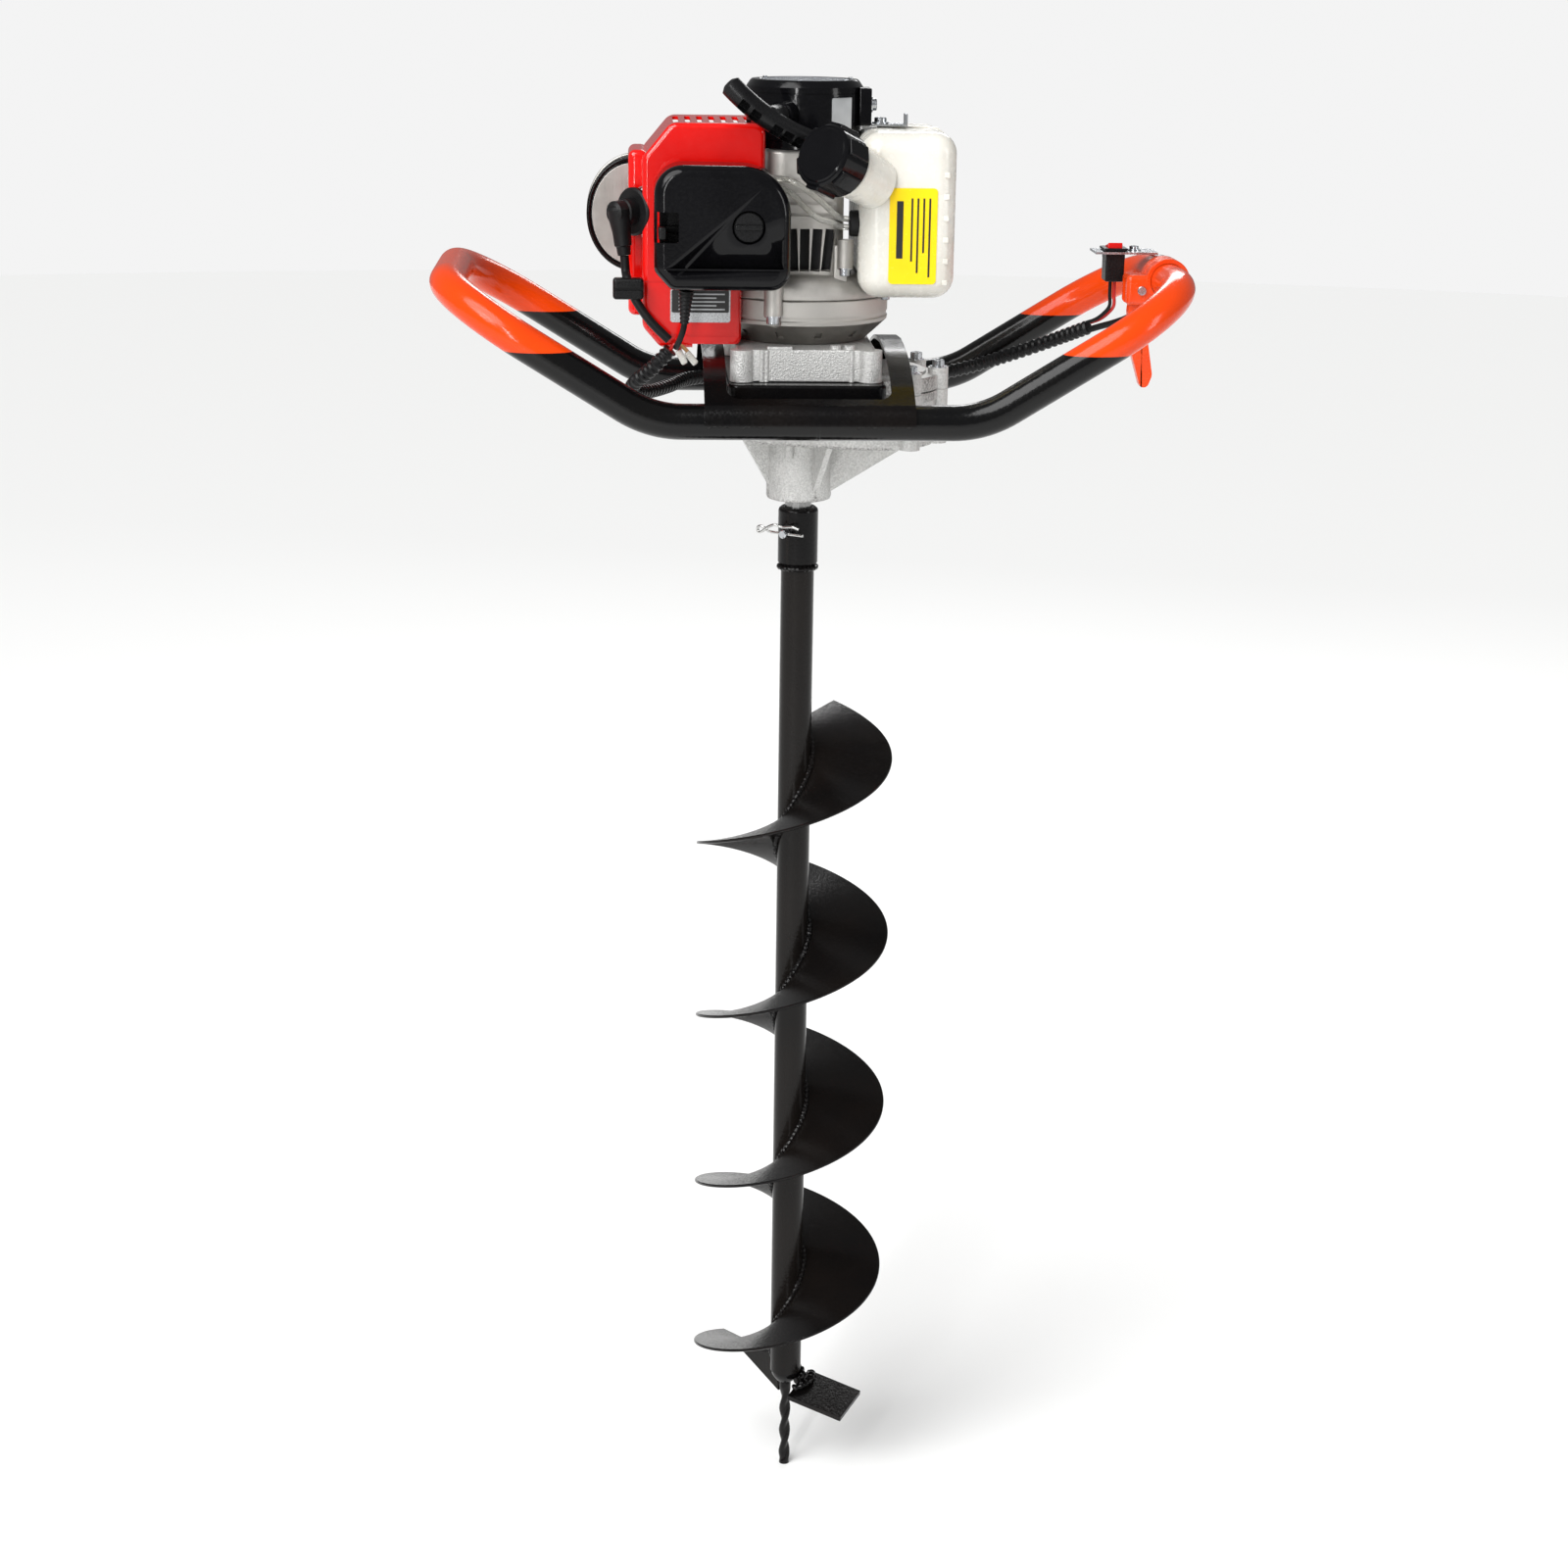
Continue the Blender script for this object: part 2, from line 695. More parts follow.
def build_gearbox_housing():
    """The lower casting: neck, ribs, and a tub round both gear axes."""
    outline = two_circle_outline(HOUSING_RADIUS, HOUSING_RADIUS)
    height = HOUSING_TOP - HOUSING_BOTTOM
    tub = extruded("gearbox_housing", "cast_aluminium", outline, height, (0, 0, HOUSING_BOTTOM + height / 2))
    bevelled(tub, 1.2, 1)
    neck = rod("neck", "cast_aluminium", NECK_RADIUS, 50, (0, 0, NECK_BOTTOM), sides=40)
    bosses = [rod(f"ear_boss_{i}", "cast_aluminium", 7.5, height, (x, y, HOUSING_BOTTOM), sides=20)
              for i, (x, y) in enumerate(EAR_BOSSES)]
    ribs = [web("web_left", 195, 44, 818, 5), web("web_front", -62, 44, 815, 5), web("web_rear", 70, 44, 815, 5)]
    big_web = web("web_right", -14, 84, 813, 6)
    join(tub, neck, *bosses, *ribs, big_web)
    inner = two_circle_outline(HOUSING_RADIUS - HOUSING_WALL, HOUSING_RADIUS - HOUSING_WALL)
    floor = HOUSING_BOTTOM + HOUSING_WALL
    cavity = extruded("gear_cavity", "steel", inner, 60, (0, 0, floor + 30))
    seat = rod("bearing_seat", "steel", 19 + GAP, 40, (0, 0, 833.5), sides=28)
    bore = rod("neck_bore", "steel", SHAFT_RADIUS + 2, 60, (0, 0, 790), sides=28)
    return cut(tub, cavity, seat, bore)


EAR_BOSSES = [
    (IDLER_X + 50 * math.cos(math.radians(a)), IDLER_Y + 50 * math.sin(math.radians(a))) for a in (-58, -8, 42)
]


def build_gearbox_cover():
    """The upper casting: the ear lid over the idler and the lobed block that carries the engine."""
    low = HOUSING_TOP + GAP
    outline = two_circle_outline(HOUSING_RADIUS, HOUSING_RADIUS)
    lid = extruded("gearbox_cover", "cast_aluminium", outline, 11.2, (0, 0, low + 5.6))
    ear = rod("ear_cap", "cast_aluminium", 42, EAR_TOP - low - 1, (IDLER_X, IDLER_Y, low + 1), sides=40)
    bosses = [rod(f"lid_boss_{i}", "cast_aluminium", 7.5, EAR_TOP - low, (x, y, low), sides=20)
              for i, (x, y) in enumerate(EAR_BOSSES)]
    raised = rectangle(-50, -72, 50, 72, 6)
    top = extruded("cover_block", "cast_aluminium", raised, COVER_TOP - BLOCK_BOTTOM,
                   (0, 0, (COVER_TOP + BLOCK_BOTTOM) / 2))
    lobes = [rod(f"cover_lobe_{i}", "cast_aluminium", 8.5, COVER_TOP - BLOCK_BOTTOM, (x, y, BLOCK_BOTTOM), sides=16)
             for i, (x, y) in enumerate(((-46, -69), (46, -69), (-46, 69), (46, 69)))]
    join(lid, ear, *bosses, top, *lobes)
    shaft = rod("cover_shaft_bore", "steel", 9, 60, (0, 0, 880), sides=24)
    drum = rod("drum_bore", "steel", 33.5, 40, (0, 0, 905.8), sides=32)
    return cut(lid, shaft, drum)


# Handle and saddle


def build_handle(name, side):
    """One U of the loop: straight runs, a bend up, and a rounded end across."""
    shift = Vector((HANDLE_SHIFT, 0, 0))
    seam = GAP / 2
    half = [(seam, RUN_Z), (RUN_BEND_X, RUN_Z), (LOOP_END_X, LOOP_END_Z)]
    corners = [Vector((x * side, -RUN_Y, z)) for x, z in half] + [Vector((x * side, RUN_Y, z)) for x, z in half[::-1]]
    radii = [0, RUN_BEND_RADIUS, LOOP_BEND_RADIUS, LOOP_BEND_RADIUS, RUN_BEND_RADIUS, 0]
    path = fillet([c + shift for c in corners], radii, step=18.0)
    pipe = tube(name, "black_paint", path, GRIP_RADIUS, resolution=3, caps=False)
    wall = pipe.modifiers.new("Wall", "SOLIDIFY")
    wall.thickness = GRIP_WALL * MM
    wall.offset = -1
    return pipe


def saddle_profile():
    """The (y, z) line of the saddle's inner face from the front weld to the middle."""
    wrap = [(-RUN_Y + y, RUN_Z + z) for y, z in arc((0, 0), GRIP_RADIUS + 0.5, 182, 122, 4)]
    return wrap + [(-105, 904.5), (-88, 910.5), (-70, 915.5), (-43, 920.5), (0, 923.5)]


def build_saddle():
    """The arched sheet that carries the powerhead, with a window for the gearbox."""
    front = saddle_profile()
    line = front + [(-y, z) for y, z in front[-2::-1]]
    bm = bmesh.new()
    left = [bm.verts.new((-74, y, z)) for y, z in line]
    right = [bm.verts.new((74, y, z)) for y, z in line]
    for i in range(len(line) - 1):
        bm.faces.new((left[i], right[i], right[i + 1], left[i + 1]))
    saddle = add("saddle_plate", bm, "black_paint")
    skin = saddle.modifiers.new("Sheet", "SOLIDIFY")
    skin.thickness = 3 * MM
    skin.offset = 1
    window = extruded("saddle_window", "steel", rectangle(-58, -113, 58, 113, 9), 200, (0, 0, 920))
    return cut(saddle, window)


def build_seat():
    """The frame between the saddle's window and the gearbox, open where the ear passes."""
    outline = rectangle(-57.4, -88, 57.4, 88, 8)
    seat = bevelled(extruded("saddle_seat", "black_paint", outline, 7.7, (0, 0, 899.85)), 1.5, 2)
    room = two_circle_outline(HOUSING_RADIUS + 0.8, HOUSING_RADIUS + 0.8)
    return cut(seat, extruded("seat_hole", "steel", room, 40, (0, 0, 900)))


# Engine


LEFT_BOSS = (-24, -63, 950)
LEFT_BOSS_RADIUS = 6.5


def build_clutch_housing():
    """The silver bell round the clutch, notched where the crankcase's left bolt boss comes down."""
    housing = turned(
        "clutch_housing",
        "cast_aluminium",
        [
            (58, BELL_SEAM_Z - GAP),
            (BELL_RADIUS, BELL_SEAM_Z - GAP),
            (BELL_RADIUS, 943),
            (60, 940),
            (46, COVER_TOP + GAP),
            (34.5, COVER_TOP + GAP),
            (34.5, 934),
            (58, 946),
        ],
        steps=36,
        ring=True,
    )
    return cut(housing, rod("boss_notch", "steel", LEFT_BOSS_RADIUS + GAP, 40, (-24, -63, 935), sides=16))


def build_crankcase():
    """The main casting: a bell over the clutch, and a finned body with room for crank and bore."""
    case = turned(
        "crankcase",
        "cast_aluminium",
        [
            (0, 978),
            (52, 978),
            (60, 974),
            (BELL_RADIUS, 969),
            (BELL_RADIUS, BELL_SEAM_Z),
            (57, BELL_SEAM_Z),
            (57, 966),
            (30, 970),
            (0, 970),
        ],
        steps=48,
    )
    body = extruded("case_body", "cast_aluminium", rounded([(-28, -50), (27, -50), (27, 50), (-28, 50)], 12),
                    CUP_BOTTOM - 0.6 - 972, (0, 0, (CUP_BOTTOM - 0.6 + 972) / 2))
    bosses = [rod("boss_left", "cast_aluminium", LEFT_BOSS_RADIUS, 22, LEFT_BOSS, sides=16),
              rod("boss_right", "cast_aluminium", 6, 20, (27.5, -52, 983), sides=16)]
    foot = block("boss_left_foot", "cast_aluminium", (12, 16, 10), (-24, -55, 966.5))
    foot_right = block("boss_right_foot", "cast_aluminium", (10, 14, 26), (24.5, -47, 986))
    join(case, body, foot, foot_right, *bosses)
    slots = [block(f"fin_slot_{i}", "steel", (6.2, 14, 27), (-19 + i * 8.2, -48, 994), turn=(0, (i - 3) * 3, 0))
             for i in range(5)]
    crank_room = rod("crank_room", "steel", 24, 38, (0, 0, 996), sides=32)
    shaft_hole = rod("crank_hole", "steel", 8.6, 120, (0, 0, 960), sides=24)
    bore = rod("case_bore", "steel", BORE_RADIUS, 60, (0, 0, CRANK_Z), axis=(-1, 0, 0), sides=28)
    return cut(case, crank_room, shaft_hole, bore, *slots)


def build_cylinder():
    """The barrel points away from the tank and carries square cooling fins."""
    barrel = rod("cylinder", "cast_aluminium", 22, 76, (-28.6, 0, CRANK_Z), axis=(-1, 0, 0), sides=32)
    fins = [block(f"fin_{i}", "cast_aluminium", (2.4, 60, 58), (-40 - i * 13, 0, CRANK_Z)) for i in range(5)]
    port = block("intake_port", "cast_aluminium", (22, 14, 22), (-60, -29.5, CRANK_Z))
    outlet = block("exhaust_port", "cast_aluminium", (24, 14, 24), (-78, 30, CRANK_Z))
    join(barrel, port, outlet, *fins)
    bore = rod("cylinder_bore", "steel", BORE_RADIUS, 70, (-20, 0, CRANK_Z), axis=(-1, 0, 0), sides=28)
    plug_hole = rod("plug_hole", "steel", 5.4, 40, PLUG_SEAT, axis=-PLUG_AXIS, sides=16)
    return cut(barrel, bore, plug_hole)


PLUG_AXIS = Vector((-0.75, -0.66, 0.0)).normalized()
PLUG_SEAT = Vector((-100.0, -17.0, CRANK_Z + 5)) + PLUG_AXIS * 9


def build_piston():
    return turned(
        "piston",
        "steel",
        [(0, 0), (BORE_RADIUS - GAP, 0), (BORE_RADIUS - GAP, -24), (BORE_RADIUS - 3, -24), (BORE_RADIUS - 3, -6), (0, -6)],
        at=(-58, 0, CRANK_Z),
        axis=(-1, 0, 0),
        steps=28,
    )


def build_crankshaft():
    """Two main journals, two webs and the offset pin between them."""
    lower = rod("crankshaft", "steel", 8.2, 58, (0, 0, 943), sides=20)
    upper = rod("upper_journal", "steel", 8.2, 55, (0, 0, 1026), sides=20)
    webs = [rod(f"crank_web_{i}", "steel", 22, 7, (0, 0, z), sides=28) for i, z in enumerate((999, 1023))]
    throw = rod("crank_pin", "steel", 5, 20, (STROKE / 2, 0, 1005), sides=16)
    return join(lower, webs[0], throw, webs[1], upper)


def build_clutch_rotor():
    """The shoe carrier, three shoes wide, that flies out against the drum."""
    rotor = rod("clutch_rotor", "steel", 27, 14, (0, 0, 918), sides=32)
    hub = rod("rotor_hub", "steel", 12, 26, (0, 0, 916.5), sides=24)
    slots = [block(f"shoe_slot_{i}", "steel", (3, 18, 40), (22 * math.sin(a), 22 * math.cos(a), 925),
                   turn=(0, 0, -math.degrees(a))) for i, a in enumerate((0.3, 2.4, 4.5))]
    return cut(join(rotor, hub), *slots)


def build_flywheel():
    """The magneto wheel with its fan blades, under the starter reel."""
    return turned(
        "flywheel_fan",
        "cast_aluminium",
        [(14, 1077), (16, 1072.5), (35, 1072.5), (35, 1068.5), (8.6, 1068.5), (8.6, 1077)],
        steps=28,
        ring=True,
    )


def build_starter_housing():
    """The recoil cup: chamfered top, side windows, rope guide and a strut to the tank bracket."""
    cup = turned(
        "starter_housing",
        "black_plastic",
        [
            (0, CUP_TOP),
            (38.5, CUP_TOP),
            (CUP_RADIUS, CUP_TOP - 4.5),
            (CUP_RADIUS, CUP_BOTTOM),
            (CUP_RADIUS - 2.5, CUP_BOTTOM),
            (CUP_RADIUS - 2.5, CUP_TOP - 5),
            (37, CUP_TOP - 2.5),
            (0, CUP_TOP - 2.5),
        ],
        steps=48,
    )
    guide = rod("rope_guide", "black_plastic", 9, GUIDE_LENGTH, guide_start(), PULL_DIRECTION, sides=20)
    strut = block("starter_strut", "black_plastic", (9, 16, 26.6), (42.5, -14, 1093.7), bevel=1, segments=1)
    windows = []
    for turn in (-52, 70, 150):
        side = Matrix.Rotation(math.radians(turn), 3, "Z") @ Vector((CUP_RADIUS, 0, 1088))
        windows.append(block(f"cup_window_{turn}", "steel", (20, 20, 26), side, turn=(0, 0, turn)))
    rope_hole = rod("rope_hole", "steel", 3.2, 60, guide_start() - PULL_DIRECTION * 12, PULL_DIRECTION, sides=16)
    join(cup, guide, strut)
    return cut(cup, rope_hole, *windows)


def guide_start():
    """Where the rope's guide leaves the cup."""
    return Vector((0, 0, 1089.5)) + PULL_DIRECTION * (CUP_RADIUS - 3)


def build_reel():
    return turned(
        "starter_reel",
        "black_plastic",
        [
            (REEL_RADIUS, 1095),
            (REEL_RADIUS, 1093),
            (REEL_RADIUS - 5, 1092),
            (REEL_RADIUS - 5, 1087),
            (REEL_RADIUS, 1086),
            (REEL_RADIUS, 1084),
            (6, 1084),
            (6, 1095),
        ],
        steps=32,
        ring=True,
    )


def handle_middle():
    return guide_start() + PULL_DIRECTION * (GUIDE_LENGTH + 19) + Vector((0, 0, -3))


def build_rope():
    start = guide_start() - PULL_DIRECTION * 8
    return rod("starter_rope", "white_plastic", ROPE_RADIUS, GUIDE_LENGTH + 10, start, PULL_DIRECTION, sides=10)


def build_starter_handle():
    """The pull grip: a curved bar with finger pockets on a stem that parks on the rope guide."""
    middle = handle_middle()
    bar = Vector((0.84, 0.05, -0.54)).normalized()
    bow = PULL_DIRECTION
    path = [middle + bar * s - bow * (0.004 * s * s) + Vector((0, 0, 0.003 * s * s)) for s in range(-38, 32, 6)]
    grip = as_mesh(tube("starter_handle", "black_plastic", path, 7, resolution=3))
    stem_start = guide_start() + PULL_DIRECTION * (GUIDE_LENGTH + GAP)
    stem = rod("handle_stem", "black_plastic", 7.5, 20, stem_start, PULL_DIRECTION, sides=20)
    pockets = [block(f"grip_pocket_{i}", "steel", (7, 9, 8), middle + bar * s + bow * 6.5 - Vector((0, 0, 2)),
                     turn=(20, 32, 0)) for i, s in enumerate((5, 14, 23))]
    hole = rod("handle_rope_hole", "steel", ROPE_RADIUS + GAP, 12, guide_start() + PULL_DIRECTION * (GUIDE_LENGTH - 4),
               PULL_DIRECTION, sides=12)
    join(grip, stem)
    return cut(grip, hole, *pockets)


SHROUD_FRONT, SHROUD_BACK, SHROUD_WALL = -52.0, 52.0, 2.5


def build_shroud():
    """The red cover over cylinder and coil, open behind and towards the crankcase."""
    corners = [
        (-117, 1059), (-97, 1083), (-30, 1083), (-30, 978), (-46, 978), (-46, 925), (-104, 925), (-117, 940),
    ]
    outline = rounded(corners, [10, 10, 8, 6, 4, 8, 8, 10], step=30)
    depth = SHROUD_BACK - SHROUD_FRONT + 12
    shell = extruded("engine_shroud", "red_plastic", outline, depth, (0, SHROUD_FRONT + depth / 2, 0), facing="Y")
    side = block("shroud_side", "red_plastic", (14, 70, 118), (-120, 14, 1003), bevel=5, segments=2)
    room = extruded("shroud_room", "steel", inset(corners, SHROUD_WALL), depth,
                    (0, SHROUD_FRONT + SHROUD_WALL + depth / 2, 0), facing="Y")
    trim = block("shroud_back_trim", "steel", (200, 30, 200), (-80, SHROUD_BACK + 15, 1003))
    hollow = block("shroud_side_hollow", "steel", (14, 62, 110), (-117, 14, 1003))
    openings = [
        block("crank_side_opening", "steel", (12, 108, 101.5), (-30, 6, 1029.7)),
        rod("cup_clearance", "steel", CUP_RADIUS + 1.5, 60, (0, 0, 1050), sides=48),
        block("bell_side_opening", "steel", (12, 108, 60), (-44, 6, 955)),
        block("step_opening", "steel", (30, 108, 12), (-41, 6, 976)),
        block("carburettor_opening", "steel", (38, 30, 42), (-60, -52, CRANK_Z - 2)),
        block("underside_room", "steel", (40, 200, 40), (-61, 0, 908)),
        rod("plug_opening", "steel", 18.5, 60, PLUG_SEAT, axis=PLUG_AXIS, sides=24),
        block("muffler_opening", "steel", (34, 64, 84), (-124, 42, 1014)),
    ]
    louvres = [block(f"louvre_{i}", "steel", (9, 66, 12), (-90 + i * 12.5, -4, 1083)) for i in range(5)]
    join(bevelled(shell, 4, 2), side)
    return cut(shell, room, hollow, trim, *openings, *louvres)


def build_air_base():
    outline = rounded([(-105, 980), (-105, 1044), (-90, 1053), (-30, 1053), (-18, 1040), (-18, 980)], 7)
    plate = extruded("air_cleaner_base", "black_plastic", outline, 3, (0, -57.5, 0), facing="Y")
    mouth = rod("air_base_mouth", "steel", 8, 20, (-60, -50, CRANK_Z), axis=(0, -1, 0), sides=20)
    return cut(plate, mouth)


def build_air_cover():
    """The black box over the filter, with a slot for the choke lever and a well for the knob."""
    outline = rounded(
        [(-109, 985), (-109, 1044), (-98, 1058), (-14, 1057), (-14, 972), (-97, 972)], [8, 8, 10, 34, 14, 8]
    )
    cover = tray("air_cleaner_cover", "black_plastic", outline, 50, 2.4, (0, -110, 0), bevel=7)
    well = rod("knob_well", "black_plastic", 14, 7, (-43.5, -110 + 0.8, 1016), axis=(0, 1, 0), sides=32)
    dish = rod("knob_dish", "steel", 11.5, 10, (-43.5, -115, 1016), axis=(0, 1, 0), sides=32)
    shank = rod("knob_shank_hole", "steel", 3.4, 40, (-43.5, -125, 1016), axis=(0, 1, 0), sides=16)
    slot = block("choke_slot", "steel", (22, 30, 21), (-103, -98, 1015.5))
    join(cover, well)
    return cut(cover, dish, shank, slot)


def build_knob():
    """The cover screw: a round head with a cross bar, sunk in the cover's well, and its threaded shank."""
    knob = turned(
        "cover_knob",
        "black_plastic",
        [(0, 0), (10, 0), (10.6, 0.8), (10.6, 3), (3, 3), (3, 30), (0, 30)][::-1],
        at=(-43.5, -108.5, 1016),
        axis=(0, 1, 0),
        steps=28,
    )
    bar = block("knob_bar", "black_plastic", (19, 4, 3.4), (-43.5, -109.4, 1016), bevel=0.5, segments=1)
    return join(knob, bar)


def build_filter():
    outline = rounded([(-88, 985), (-88, 1044), (-52, 1044), (-52, 985)], 8)
    return extruded("air_filter", "filter_foam", outline, 18, (0, -76, 0), facing="Y")


def build_choke():
    """The choke lever: a spindle through the base and an arm that comes out of the cover's slot."""
    arm = block("choke_lever", "black_plastic", (24, 3, 5), (-93, -62.5, 1010))
    reach = block("choke_reach", "black_plastic", (4, 44, 5), (-104, -84, 1010))
    tab = block("choke_tab", "black_plastic", (5.6, 6, 9), (-103.4, -103.5, 1011), bevel=1)
    return join(arm, reach, tab)


def build_carburettor():
    body = block("carburettor", "cast_aluminium", (30, 18, 28), (-60, -46.5, CRANK_Z), bevel=2)
    bowl = rod("pump_cover", "cast_aluminium", 8.5, 6, (-60, -46.5, 996), sides=16)
    throat = rod("throat", "steel", 7, 60, (-60, -80, CRANK_Z), axis=(0, 1, 0), sides=20)
    return cut(join(body, bowl), throat)


def d_outline(left, right, low, high):
    middle, half = (low + high) / 2, (high - low) / 2
    curve = arc((right, middle), 1.0, 90, 270, 10)
    return [(right, low), (right, high)] + [
        (right + (x - right) * (right - left), middle + (y - middle) * half) for x, y in curve[1:-1]
    ]


def build_muffler():
    """A D-shaped steel can bolted to the exhaust port, with its outlet at the back."""
    can = bevelled(extruded("muffler", "black_paint", d_outline(-156, -122, 974, 1054)[::-1], 60, (0, 42, 0), facing="Y"), 3, 2)
    inside = extruded("muffler_inside", "steel", d_outline(-153, -124.5, 977, 1051)[::-1], 54, (0, 42, 0), facing="Y")
    outlet = rod("muffler_outlet", "steel", 7, 30, (-138, 50, 1000), axis=(0, 1, 0), sides=20)
    neck = block("muffler_neck", "black_paint", (30, 20, 22), (-110, 46, CRANK_Z))
    join(can, neck)
    return cut(can, inside, outlet)


def build_spark_plug():
    return turned(
        "spark_plug",
        "ceramic",
        [(0, 34), (3, 34), (3.5, 30), (4.6, 28), (4.6, 12), (7.5, 11), (7.5, 4), (5, 3.4), (5, -12), (0, -12)],
        at=PLUG_SEAT,
        axis=PLUG_AXIS,
        steps=20,
    )


def build_plug_boot():
    """The rubber boot: a flange disc, a hood over the plug and an elbow that turns the lead down."""
    start = PLUG_SEAT + PLUG_AXIS * 13
    disc = rod("plug_boot", "black_rubber", 17, 5, PLUG_SEAT + PLUG_AXIS * 19, PLUG_AXIS, sides=32)
    hood = rod("boot_hood", "black_rubber", 10, 29, start, PLUG_AXIS, sides=24, tip=8.5)
    end = PLUG_SEAT + PLUG_AXIS * 36
    elbow = rod("boot_elbow", "black_rubber", 8.5, 34, end + Vector((0, 0, 4)), (0.12, -0.05, -1), sides=20, tip=4.6)
    hollow = rod("boot_hollow", "steel", 8, 22.5, start - PLUG_AXIS * 1, PLUG_AXIS, sides=24)
    return cut(join(disc, hood, elbow), hollow)


def lead_start():
    return PLUG_SEAT + PLUG_AXIS * 36 + Vector((0, 0, 4)) + Vector((0.12, -0.05, -1)).normalized() * 34.4


def build_ignition_lead():
    """The plug lead with the moulded clip that holds it to the shroud."""
    start = lead_start()
    route = [start, start + Vector((1.0, -1, -12)), CLIP_PLACE + Vector((0, 0, 5)), CLIP_PLACE + Vector((4, -1, -6)),
             (-112, -61, 946), (-98, -62, 932)]
    lead = as_mesh(tube("ignition_lead", "black_rubber", spline_path(route, 7), 3.2, resolution=2))
    return join(lead, block("lead_clip", "black_plastic", (22, 12, 15), CLIP_PLACE, bevel=1.5))


CLIP_PLACE = Vector((-127.0, -58.5, 968.0))


def build_throttle_boot():
    """The tapered gaiter where the throttle cable leaves the carburettor linkage."""
    boot = rod("throttle_cable_boot", "black_rubber", 5.5, 24, (-86, -84, 970), (-0.06, 0.2, -1), sides=16, tip=3.2)
    tail = as_mesh(tube("boot_tail", "black_rubber",
                        spline_path([(-87, -81, 952), (-88, -78, 942), (-91, -70, 932), (-93, -64, 927)], 5), 2.2,
                        resolution=2))
    return join(boot, tail)


def build_conduit():
    """The corrugated sleeve round the saddle to the throttle grip, with the cable coming out of its end."""
    sleeve = as_mesh(tube("wiring_conduit", "black_plastic", spline_path(CONDUIT_ROUTE, 20), 5.5, resolution=2))
    cable = as_mesh(tube("throttle_cable", "black_rubber", spline_path(CABLE_ROUTE, 5), 2.4, resolution=2))
    return join(sleeve, cable)


CONDUIT_ROUTE = [
    (-97, -61, 925), (-109, -58, 912), (-122, -44, 899), (-124, -18, 889), (-112, 14, 884), (-97, 48, 883),
    (-84, 76, 884), (-60, 95, 884), (-20, 97.5, 884), (40, 97.5, 884), (100, 97.5, 885), (136, 96, 892),
    (166, 86, 903), (196, 66, 917), (220, 44, 930),
]
CABLE_ROUTE = [(214.5, 49, 925.2), (225, 39, 930.3), (237, 26, 936), (244, 14, 941), (246.5, 8.5, 945)]


def tank_body(name, inset, bevel, segments):
    """The tank's box, recessed over the starter cup and the crankcase bell."""
    size = [side - 2 * inset for side in TANK_SIZE]
    body = block(name, "white_plastic", size, TANK_MIDDLE, bevel=bevel, segments=segments)
    cup_room = rod(f"{name}_cup_room", "steel", CUP_RADIUS + 2 + inset, 60, (0, 0, CUP_BOTTOM - 4 - inset), sides=32)
    bell_room = rod(f"{name}_bell_room", "steel", BELL_RADIUS + 2 + inset, 40, (0, 0, 941 + inset), sides=36)
    return cut(body, cup_room, bell_room)


def build_tank():
    """The blow-moulded tank: a rounded hollow box with a slanted filler neck."""
    tank = tank_body("fuel_tank", 0, 15, 3)
    foot = CAP_FACE - CAP_DIRECTION * 62
    neck = rod("filler_neck", "white_plastic", 18.5, 50, foot, CAP_DIRECTION, sides=28)
    inner = tank_body("tank_inside", TANK_WALL, 12.5, 2)
    mouth = rod("filler_mouth", "steel", 16, 60, foot, CAP_DIRECTION, sides=28)
    grommet = rod("grommet_hole", "steel", 8.3, 20, (25, GROMMET_Y, GROMMET_Z), axis=(1, 0, 0), sides=20)
    flange = rod("grommet_room", "steel", 12.5, 21.35, (15, GROMMET_Y, GROMMET_Z), axis=(1, 0, 0), sides=40)
    join(tank, neck)
    return cut(tank, inner, mouth, grommet, flange)


TANK_LEFT, TANK_WALL = 36.5, 2.5
TANK_SIZE = (68.5, 126, 116)
TANK_MIDDLE = (TANK_LEFT + 34.25, -9, 1021)
GROMMET_Y, GROMMET_Z = -52.0, 1014.5


def build_grommet():
    """The rubber bung that both fuel lines pass into the tank through."""
    return turned(
        "tank_grommet",
        "black_rubber",
        [(0, 6), (8.6, 6), (9.3, 4.8), (9.3, 0), (7.6, 0), (7.6, -4), (0, -4)],
        at=(TANK_LEFT - GAP, GROMMET_Y, GROMMET_Z),
        axis=(-1, 0, 0),
        steps=20,
    )


def build_fuel_line(name, route):
    """A clear hose from the tank's bung over the crankcase to the carburettor side."""
    return tube(name, "clear_hose", spline_path(route, 6), FUEL_LINE_RADIUS, resolution=2)


FUEL_LINE_RADIUS = 2.1
SUPPLY_ROUTE = [
    (29.7, -52, 1017.3), (23, -52.6, 1018.6), (16, -55, 1024), (8, -57, 1031), (-5, -56, 1040.5), (-16, -53.4, 1045),
    (-28, -53.2, 1046),
]
RETURN_ROUTE = [
    (29.7, -52, 1011.7), (23, -52.6, 1012.4), (16, -55, 1015.5), (7, -57, 1018.5), (-3, -56, 1027), (-11, -54.2, 1035),
    (-19, -53.3, 1038.5), (-28.5, -53.2, 1038),
]


